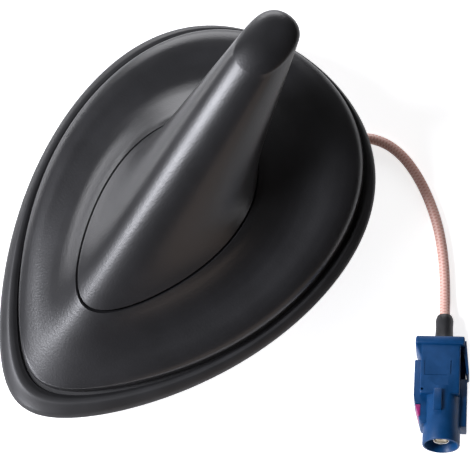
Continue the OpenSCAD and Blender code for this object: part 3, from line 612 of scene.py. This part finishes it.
# Each row: its share of the way from rim to seam, and its height at the sides. The two lowest are the rim's
# upright edge, level all round. Above them the ridge runs straight down the nose.
cover_rows = [
    (0, LEDGE_Z), (0.006, LEDGE_Z + 0.42 * bead_rise), (0.02, LEDGE_Z + 0.58 * bead_rise),
    (0.05, LEDGE_Z + 0.73 * bead_rise), (0.1, LEDGE_Z + 0.86 * bead_rise), (0.17, LEDGE_Z + 0.96 * bead_rise),
    (0.27, BEAD_Z), (0.4, between(BEAD_Z, BOWL_Z, 0.7)), (0.53, BOWL_Z), (0.65, between(BOWL_Z, SEAM_Z, 0.07)),
    (0.75, between(BOWL_Z, SEAM_Z, 0.22)), (0.84, between(BOWL_Z, SEAM_Z, 0.44)),
    (0.93, between(BOWL_Z, SEAM_Z, 0.74))]
cover_outlines = []
for k, z_side in cover_rows:
    z_nose = between(NOSE_Z, SEAM_Z, k) if k > 0.01 else z_side
    z_tail = between(z_side, seam[8], k ** 3)
    cover_outlines.append(np.array([*between(rim, seam, k)[:6], z_nose, z_side, z_tail]))

CROWN, FRONT_CROWN = 2.4, 1.1
FOOT_FLARE = 5.2
crown_z = FIN_Z - CROWN


def fin_outline(h):
    """The fin's outline at a share of its height: the ridge is straight, blunter towards the top, and the
    foot flares out."""
    width = between(SEAM_W - FOOT_FLARE, TOP_W, h) + FOOT_FLARE * (1 - h) ** 9
    z = between(SEAM_Z, crown_z, h)
    low = (1 - h) ** 12
    fullness = seam[3:6] * (1 - h) ** 1.2 + [-0.8 * h, 0.8 * h, 0]
    return np.array([between(seam_front, top_front, h), between(seam_back, top_front + top_len, h), width,
                     *fullness, z + h * (CROWN - FRONT_CROWN), z - SEAM_DROP * low, z - 2 * SEAM_DROP * low])


fin_steps = [0.05, 0.11, 0.2, 0.32, 0.46, 0.6, 0.74, 0.88, 1]
skin = cover_outlines + [seam] + [fin_outline(h) for h in fin_steps]
seam_at = len(cover_outlines)
skin_end = len(skin) - 1


def under_skin(u, depth):
    """The skin's outline at a place along it, moved square to the skin by a depth."""
    here, low, high = flowing(skin, [u, max(u - 0.5, 0), min(u + 0.5, skin_end)])
    run, rise = (high[2] - low[2]) / 2, high[7] - low[7]
    size = math.hypot(run, rise)
    moved = drawn_in(here, depth * rise / size)
    moved[6:] += depth * run / size
    return moved


def half_gap(u, v):
    """How far along the skin the seam's half gap reaches from its row towards the next one."""
    a, b = flowing(skin, [u, v])
    return SEAM_GAP / 2 / math.hypot((b[2] - a[2]) / 2, b[7] - a[7])


# ASA from a spark-eroded tool: its fine grain blurs each highlight, so the eye gets a satin black with a pale
# sheen along its ridges. The real grain is too fine to show here, so it is drawn 0.5 mm wide.
black = mottled("black ASA with a spark-eroded grain", "#222223", "#29292b", 14.0, (0.29, 0.35), 0.5, 0.025,
                {"IOR": 1.52})
RINGS_A_ROW, COVER_SIDES = 6, 320
EDGE = 0.12  # how far the lips at the seam are rounded off
cover_end = seam_at - half_gap(seam_at, seam_at - 1)
places = [u for u in np.arange(0, seam_at * RINGS_A_ROW) / RINGS_A_ROW if u < cover_end - EDGE / 2]
cover = ringed("cover_moulding", [
    *[under_skin(u, 0) for u in places],
    under_skin(cover_end - EDGE / 3, 0.01), under_skin(cover_end, EDGE), under_skin(cover_end, WALL),
    *[under_skin(u, WALL) for u in range(seam_at - 1, 0, -1)],
    at_height(drawn_in(rim, WALL), LEDGE_Z), under_skin(0, 0)], COVER_SIDES, black)
settle(cover, "cover_plastic", "base_cover")


# ---- Fin ----
# The fin is a second moulding in the same black plastic. It drops into the cover from below and is caught
# by a flange, which leaves the thin almond seam. Its ridge is broad and its flat top softly rounded.
FLANGE_W, FLANGE_T, CLEAR, CEILING_T = 0.75, 1.1, 0.3, 1.0
CROWN_RINGS = 18
fin_start = seam_at + half_gap(seam_at, seam_at + 1)
fin_places = np.arange(skin_end * RINGS_A_ROW, seam_at * RINGS_A_ROW, -1) / RINGS_A_ROW
ceiling_z = crown_z - CEILING_T
flange_in = WALL + CLEAR + FLANGE_T
top = fin_outline(1)
crown = []
for k in np.arange(1, CROWN_RINGS + 1) / CROWN_RINGS:
    in_share = k ** 2
    # The ridge reaches almost to the top, and the sides and tail round over.
    over_front = 1 - (1 - in_share) ** 1.8
    over_side = (1 - (1 - in_share) ** 2.3) ** (1 / 1.4)
    over_back = (1 - (1 - in_share) ** 4) ** (1 / 2)
    drawn = top + in_share * np.array([top_len / 2, -top_len / 2, -TOP_W, 0, 0, 0, 0, 0, 0])
    crown.append(at_height(drawn, [FIN_Z - FRONT_CROWN * (1 - over_front), FIN_Z - CROWN * (1 - over_side),
                                   FIN_Z - CROWN * (1 - over_back)]))
fin = ringed("fin_moulding", [
    *crown[::-1],
    *[under_skin(u, 0) for u in fin_places if u > fin_start + EDGE / 2],
    under_skin(fin_start + EDGE / 3, 0.01), under_skin(fin_start, EDGE),
    under_skin(fin_start, WALL + CLEAR), under_skin(seam_at - FLANGE_W, WALL + CLEAR),
    under_skin(seam_at - FLANGE_W, flange_in), under_skin(fin_start, flange_in),
    *[under_skin(u, WALL) for u in range(seam_at + 2, skin_end)],
    at_height(under_skin(skin_end, WALL), ceiling_z),
    at_height(drawn_in(top, TOP_W / 2), ceiling_z)], COVER_SIDES, black)
settle(fin, "cover_plastic", "fin_cover")


# ---- Base plate and stud ----
# A pressure-cast alloy plate with its hollow stud in one piece. The stud's thread is cut at 1.5 mm pitch,
# a key beside it keeps the aerial straight on the roof, and shallow pockets save metal underneath.
PLATE_Z, PLATE_T, ROOF_T = 0.4, 2.6, 1.0
STUD_D, STUD_BORE, PITCH, THREAD_DEPTH, THREAD_TOP = 14.0, 9.0, 1.5, 0.8, -1.6
GASKET_IN, GASKET_OUT, GASKET_T = 10.2, 15.0, 1.6
LEAD_ANGLE = math.radians(69)
SLOT_W, SLOT_H = 3.6, 3.2
KEY_W, KEY_OUT = 6.0, 2.2
SPACER_R, SPACER_H = 2.2, 3.0
spacer_places = [(x, y) for x in (-9.5, 9.5) for y in (-10.98, 13.0)]
POCKET_IN, POCKET_ARC, POCKET_DEPTH = 17.4, 58, 1.1
plate_top = PLATE_Z + PLATE_T

# The tree rolls a grid into a threaded rod with closed ends, its crests and roots flattened, its ends
# chamfered.
thread_tree, given = new_tree("cut thread", ("Rings", "Int"), ("Around", "Int"), ("Radius", "Float"),
                              ("Depth", "Float"), ("Pitch", "Float"), ("Length", "Float"),
                              ("Material", "Material"))
tree = thread_tree
mesh, row, angle = rolled_grid(tree, given["Rings"], given["Around"])
last = add(tree, "ShaderNodeMath", given["Rings"], 1.0, operation="SUBTRACT")
inner = add(tree, "ShaderNodeMath", last, 2.0, operation="SUBTRACT")
ring = add(tree, "ShaderNodeClamp", add(tree, "ShaderNodeMath", row, 1.0, operation="SUBTRACT"), 0.0, inner)
along = add(tree, "ShaderNodeMath", ring, inner, operation="DIVIDE")
height = add(tree, "ShaderNodeMath", along, given["Length"], operation="MULTIPLY")
turns = add(tree, "ShaderNodeMath", height, given["Pitch"], operation="DIVIDE")
wound = add(tree, "ShaderNodeMath", add(tree, "ShaderNodeMath", angle, 2 * math.pi, operation="DIVIDE"), turns)
flank = add(tree, "ShaderNodeMath", wound, 0.5, operation="PINGPONG")
cut = add(tree, "ShaderNodeMapRange", flank, 0.08, 0.42, 0.0, 1.0)
depth = add(tree, "ShaderNodeMath", cut, given["Depth"], operation="MULTIPLY")
threaded = add(tree, "ShaderNodeMath", given["Radius"], depth, operation="SUBTRACT")
core = add(tree, "ShaderNodeMath", given["Radius"], given["Depth"], operation="SUBTRACT")
chamfer = add(tree, "ShaderNodeMath", core, height)
tipped = add(tree, "ShaderNodeMath", threaded, chamfer, operation="MINIMUM")
started = add(tree, "ShaderNodeMath", row, 0.5, operation="GREATER_THAN")
ended = add(tree, "ShaderNodeMath", row, add(tree, "ShaderNodeMath", last, 0.5, operation="SUBTRACT"),
            operation="LESS_THAN")
radius = add(tree, "ShaderNodeMath", add(tree, "ShaderNodeMath", tipped, started, operation="MULTIPLY"), ended,
             operation="MULTIPLY")
x = add(tree, "ShaderNodeMath", radius, add(tree, "ShaderNodeMath", angle, operation="COSINE"),
        operation="MULTIPLY")
y = add(tree, "ShaderNodeMath", radius, add(tree, "ShaderNodeMath", angle, operation="SINE"),
        operation="MULTIPLY")
rolled_up(tree, mesh, add(tree, "ShaderNodeCombineXYZ", x, y, height), given["Material"])


def shape_of(piece, z=0.0):
    """A temporary piece's mesh as a shape to carve with, raised by a height. The piece is removed."""
    work = bmesh.new()
    work.from_mesh(piece.data)
    bmesh.ops.remove_doubles(work, verts=work.verts, dist=1e-3)
    bmesh.ops.translate(work, verts=work.verts, vec=(0, 0, z))
    bpy.data.objects.remove(piece)
    return work


def standing(work, x=0.0, y=0.0):
    """Stands a shape that was turned about +X upright."""
    where = Matrix.Translation((x, y, 0)) @ Matrix.Rotation(-math.pi / 2, 4, "Y")
    bmesh.ops.transform(work, matrix=where, verts=work.verts)
    return work


def rod(radius, low, high, x=0.0, y=0.0, sides=64):
    """An upright rod with flat ends."""
    return standing(turned([(low, 0), (low, radius), (high, radius), (high, 0)], sides), x, y)


def flat_points(outline, count):
    """Points round an outline, in millimetres from the stud's axis."""
    angle = 2 * math.pi * np.arange(count) / count
    t = (1 - np.cos(angle)) / 2
    cubic = [*outline[5:2:-1], 1]
    widest = (np.sqrt(EGG * (1 - EGG)) * np.polyval(cubic, EGG)).max()
    x = np.sin(angle) * np.polyval(cubic, t) * outline[2] / 4 / widest
    return list(zip(x, between(outline[0], outline[1], t) - STUD_BACK))


def pocket(first):
    """A shallow pocket in the plate from a bearing on, between the gasket's land and the rim."""
    last = first + POCKET_ARC
    edge = sorted((math.degrees(math.atan2(y, x)) % 360, x, y) for x, y in
                  flat_points(drawn_in(rim, LEDGE_IN + 2.6), 180))
    outer = [(x, y) for bearing, x, y in edge if first < bearing < last]
    inner = [(POCKET_IN * math.cos(math.radians(a)), POCKET_IN * math.sin(math.radians(a)))
             for a in np.linspace(last, first, 14)]
    return prism(outer + inner, PLATE_Z - 1, PLATE_Z + POCKET_DEPTH, 0.0)


screw_places = [(0, -34.68), (-19.47, 0), (19.47, 0), (0, 30.77)]
# Pressure-cast alloy, bead blasted, gives the eye a dull mid grey with a fine, even pitting.
cast = mottled("pressure-cast alloy, bead blasted", "#84868a", "#9b9da1", 3.0, (0.42, 0.55), 0.4, 0.02, METAL)
thread = run_tree("stud thread", bpy.data.meshes.new("stud thread source"), thread_tree, rings=168, around=80,
                  radius=STUD_D / 2, depth=THREAD_DEPTH, pitch=PITCH, length=THREAD_TOP - FLOOR_Z, material=cast)
slot = block(0, STUD_D, -SLOT_W / 2, SLOT_W / 2, FLOOR_Z - 1, FLOOR_Z + SLOT_H)
bmesh.ops.rotate(slot, verts=slot.verts, matrix=Matrix.Rotation(LEAD_ANGLE, 3, "Z"))
plate = carved(
    "base_casting", prism(flat_points(drawn_in(rim, LEDGE_IN + 0.1), 144), PLATE_Z, plate_top, 0.0),
    ("UNION", rod(STUD_D / 2, THREAD_TOP - 0.2, PLATE_Z + 1)),
    ("UNION", shape_of(thread, FLOOR_Z)),
    ("UNION", block(-KEY_W / 2, KEY_W / 2, 2, STUD_D / 2 + KEY_OUT, 0.1 - ROOF_T, PLATE_Z + 0.3)),
    *[("UNION", rod(SPACER_R, plate_top - 0.1, plate_top + SPACER_H, x, y, 32)) for x, y in spacer_places],
    ("DIFFERENCE", rod(STUD_BORE / 2, FLOOR_Z - 1, plate_top + 1)),
    ("DIFFERENCE", slot),
    ("DIFFERENCE", standing(turned([(PLATE_Z - 1, GASKET_IN - 0.1), (PLATE_Z + 1.2, GASKET_IN - 0.1),
                                    (PLATE_Z + 1.2, GASKET_OUT + 0.1), (PLATE_Z - 1, GASKET_OUT + 0.1)],
                                   96, True))),
    *[("DIFFERENCE", pocket(first)) for first in (16, 106, 196, 286)],
    *[("DIFFERENCE", rod(2.5, PLATE_Z - 1, PLATE_Z + 1.3, x, y, 40)) for x, y in screw_places])
settle(in_metres(plate, cast, sharp=30), "cast_alloy", "base_plate")


# ---- Gasket, washer and nut ----
# Under the plate lies a foam ring. A toothed spring washer bites the roof from below, and a flanged
# hexagon nut with chamfered corners clamps it.

# Cut foam rubber gives the eye a flat, deep black with small open cells.
foam = mottled("closed-cell black foam", "#18181a", "#2b2b2e", 0.8, (0.8, 0.95), 0.5, 0.06)
gasket = shaped("foam_gasket", standing(turned([
    (0.25, GASKET_IN), (0, GASKET_IN + 0.3), (0, GASKET_OUT - 0.3), (0.25, GASKET_OUT),
    (GASKET_T, GASKET_OUT), (GASKET_T, GASKET_IN)], 96, True)))
settle(in_metres(gasket, foam), "foam_rubber", "stud_gasket")

# The tree sets one part on every point it is given, turned by the point's own angle.
set_tree, given = new_tree("parts set on points", ("Part", "Object"), ("Material", "Material"))
tree = set_tree
part = add(tree, "GeometryNodeObjectInfo", named={"Object": given["Part"]}).outputs["Geometry"]
bearing = add(tree, "GeometryNodeInputNamedAttribute", "turn", data_type="FLOAT")
spun = add(tree, "ShaderNodeCombineXYZ", 0.0, 0.0, bearing)
laid = add(tree, "GeometryNodeInstanceOnPoints",
           named={"Points": given["Geometry"], "Instance": part, "Rotation": spun})
whole = add(tree, "GeometryNodeRealizeInstances", laid)
add(tree, "NodeGroupOutput", add(tree, "GeometryNodeSetMaterial", whole, None, given["Material"]))


def set_parts(name, part, places, finish):
    """Copies of a part at places (x, y, z, turn), as one piece. The part itself is removed."""
    spots = bpy.data.meshes.new(name + " places")
    spots.from_pydata([p[:3] for p in places], [], [])
    spots.attributes.new("turn", "FLOAT", "POINT").data.foreach_set("value", [p[3] for p in places])
    done = run_tree(name, spots, set_tree, part=part, material=finish)
    bpy.data.objects.remove(part)
    return done


# Spring steel, passivated yellow, gives the eye a half gloss with a straw tint that drifts in patches.
spring = mottled("yellow passivated spring steel", "#9c8f56", "#c2b77e", 2.5, (0.3, 0.45), 0.3, 0.006, METAL)
WASHER_D, WASHER_T, TEETH, TOOTH = 28.0, 1.2, 12, 3.2
NUT_AF, NUT_T = 21.0, 6.0
nut_top = -ROOF_T - WASHER_T
bar = block(0, TOOTH, -TOOTH / 2, TOOTH / 2, 0, WASHER_T - 0.4, 0.1)
bmesh.ops.rotate(bar, verts=bar.verts, matrix=Matrix.Rotation(math.radians(-8), 3, "Y"))
tooth = shaped("washer tooth", bar)
tooth_r = WASHER_D / 2 - TOOTH
teeth = set_parts("washer teeth", tooth, [
    (tooth_r * math.cos(a), tooth_r * math.sin(a), nut_top, a) for a in 2 * math.pi * np.arange(TEETH) / TEETH],
    spring)
ring_r, hole_r = WASHER_D / 2 - 0.625 * TOOTH, STUD_D / 2 + 0.3
washer = carved(
    "spring_washer", standing(turned([(nut_top, hole_r), (nut_top, ring_r), (nut_top + WASHER_T, ring_r),
                                      (nut_top + WASHER_T, hole_r)], 96, True)),
    ("UNION", shape_of(teeth)))
settle(in_metres(washer, spring), "spring_steel", "toothed_washer")

# Zinc plated steel gives the eye a cool, pale metal, the brightest one under the roof.
zinc = mottled("bright zinc plate on steel", "#a3a6aa", "#bfc2c6", 2.0, (0.25, 0.38), 0.3, 0.006, METAL)
corner = NUT_AF / 2 / math.cos(math.pi / 6)
hexagon = [(corner * math.cos(a), corner * math.sin(a)) for a in math.pi / 3 * np.arange(6)]
nut_low, bore = nut_top - NUT_T, STUD_D / 2 + 0.05
nut = carved(
    "flanged_nut", prism(hexagon, nut_low - 1, nut_top - 0.6, 0.0),
    ("INTERSECT", standing(turned([(nut_low, 0), (nut_low, NUT_AF / 2 - 0.4), (nut_low + 1.1, corner + 0.3),
                                   (nut_top, corner + 0.3), (nut_top, 0)], 96))),
    ("UNION", standing(turned([(nut_top - 1.3, 0), (nut_top - 1.7, NUT_AF / 2 - 0.7), (nut_top - 1.1, 11.85),
                               (nut_top - 0.85, 12), (nut_top - 0.1, 12), (nut_top, 11.9), (nut_top, 0)], 96))),
    ("DIFFERENCE", standing(turned([(nut_low - 1, 0), (nut_low - 1, 8.7), (nut_low + 0.7, bore),
                                    (nut_top + 1, bore), (nut_top + 1, 0)], 80))))
settle(in_metres(nut, zinc, sharp=30), "nut_steel", "mounting_nut")


# ---- Cover screws ----
# Four pan-head screws hold the cover to the plate from below, each in its own well, with a six-lobe
# recess for the driver.

# Black passivated steel gives the eye a dark grey with a dull metallic gleam.
dark_steel = mottled("black passivated steel", "#3a3a3d", "#55555a", 1.2, (0.3, 0.42), 0.2, 0.004, METAL)
LOBE_R, LOBE_OUT = 0.78, 0.2
lobes = [(r * math.cos(a), r * math.sin(a)) for a in 2 * math.pi * np.arange(48) / 48
         for r in [LOBE_R + LOBE_OUT * math.cos(6 * a)]]
screw = carved(
    "cover screw", standing(turned([(0, 0), (0, 1.7), (0.12, 2.0), (0.4, 2.2), (1.2, 2.2), (1.2, 1.05),
                                    (4.2, 1.05), (4.6, 0.7), (4.6, 0)], 48)),
    ("DIFFERENCE", prism(lobes, -1, 0.75, 0.0)))
screws = set_parts("cover_screw_set", screw, [(x, y, PLATE_Z, 0.3 * x + 0.2 * y) for x, y in screw_places],
                   dark_steel)
settle(in_metres(screws, dark_steel), "screw_steel", "cover_screws")


# ---- Board and aerial patch ----
# What the cover hides: the green board with its screws, its tin can, and the ceramic patch aerial with
# its silver film and feed pin. The lead's tinned root and its grommet sit in the stud.

# To the eye the resist is a glossy, slightly wavy green over the fibre's weave, the fired ceramic a chalky
# cream, its fired silver nearly white and satin, the plated pin a shiny yellow, the tinned sheet a clouded
# pale grey, and the nitrile rubber a black without shine.
laminate = mottled("green solder resist over glass fibre", "#0d5a2c", "#12703a", 1.2, (0.22, 0.34), 0.3, 0.01)
ceramic = mottled("fired ceramic", "#cbbfa6", "#dcd2bc", 1.5, (0.5, 0.65), 0.25, 0.01)
silver = mottled("fired silver film", "#d0d0cd", "#e4e4e1", 1.0, (0.3, 0.42), 0.2, 0.004, METAL)
brass = mottled("plated brass pin", "#c9a95c", "#dcc27c", 0.6, (0.22, 0.32), 0.2, 0.003, METAL)
tin = mottled("folded tinned sheet", "#b2b2b4", "#cacacc", 3.0, (0.25, 0.4), 0.3, 0.006, METAL)
moulded = mottled("moulded black nitrile rubber", "#1b1b1d", "#27272a", 1.5, (0.55, 0.7), 0.3, 0.01)
for name, finish in (("circuit_board", laminate), ("board_screws", zinc),
                     ("patch_ceramic", ceramic), ("patch_film", silver), ("patch_feed_pin", brass),
                     ("shield_can", tin), ("lead_root", tin), ("lead_grommet", moulded)):
    coated(cad[name], finish)


# ---- Floor, lamps and room ----
# A plain white sheet under the stud's end, in a dim room. A high lamp ahead on the left draws the light
# along the ridge, a lower one lights the nose, two low ones the left flanks, and a weak warm one fills from
# the right.
LAMP_OFF = 0.7


def soft_lamp(name, bearing, rise, size, watts, tint):
    """A tinted rectangular lamp that looks at the stud from a bearing and a rise in degrees."""
    lamp = bpy.data.objects.new(name, bpy.data.lights.new(name, "AREA"))
    lamp.data.shape = "RECTANGLE"
    lamp.data.size, lamp.data.size_y = size
    lamp.data.energy = watts
    lamp.data.color = colour(tint)[:3]
    a, e = math.radians(bearing), math.radians(rise)
    aim = Vector((math.cos(a) * math.cos(e), math.sin(a) * math.cos(e), math.sin(e)))
    lamp.matrix_world = Matrix.Translation(aim * LAMP_OFF) @ aim.to_track_quat("Z", "Y").to_matrix().to_4x4()
    bpy.context.scene.collection.objects.link(lamp)


soft_lamp("ridge lamp", 224, 48, (0.2, 0.25), 5.1, "#f6f7ff")
soft_lamp("nose lamp", 259, 20, (0.3, 0.25), 3.2, "#f6f7ff")
soft_lamp("left lamp", 138, 14, (0.56, 0.36), 3.4, "#fbfbff")
soft_lamp("flank lamp", 186, 5, (0.35, 0.1), 0.75, "#fbfbff")
soft_lamp("right lamp", 335, 14, (0.8, 0.3), 0.6, "#ffe6d6")

FLOOR_HALF, PAPER_GLOW, ROOM_GLOW = 3.0, 0.75, 0.02
floor_mesh = bpy.data.meshes.new("floor")
corners = [(-1, -1), (1, -1), (1, 1), (-1, 1)]
floor_mesh.from_pydata([(x * FLOOR_HALF, y * FLOOR_HALF, FLOOR_Z * MM) for x, y in corners], [], [(0, 1, 2, 3)])
floor = place_mesh("floor", floor_mesh)
# Plain matt paper, white in view, half as bright in reflections, with the object's soft shadow left on it.
paper = bpy.data.materials.new("white paper")
paper.use_nodes = True
tree = paper.node_tree
tree.nodes.clear()
sheet = add(tree, "ShaderNodeBsdfDiffuse", colour("#f2f2f2"))
bright = add(tree, "ShaderNodeEmission", colour("#ffffff"), PAPER_GLOW)
path = add(tree, "ShaderNodeLightPath").outputs
seen = add(tree, "ShaderNodeMath", path["Is Glossy Ray"], 0.5, path["Is Camera Ray"], operation="MULTIPLY_ADD")
lit = add(tree, "ShaderNodeAddShader", sheet, bright)
add(tree, "ShaderNodeOutputMaterial", add(tree, "ShaderNodeMixShader", seen, sheet, lit))
floor_mesh.materials.append(paper)

# The room is white to the camera and dim to the object.
room = bpy.data.worlds.new("pale room")
room.use_nodes = True
tree = room.node_tree
tree.nodes.clear()
seen = add(tree, "ShaderNodeLightPath").outputs["Is Camera Ray"]
strength = add(tree, "ShaderNodeMapRange", seen, 0.0, 1.0, ROOM_GLOW, 1.0)
add(tree, "ShaderNodeOutputWorld", add(tree, "ShaderNodeBackground", colour("#ffffff"), strength))
bpy.context.scene.world = room
bpy.context.scene.view_settings.view_transform = "Standard"
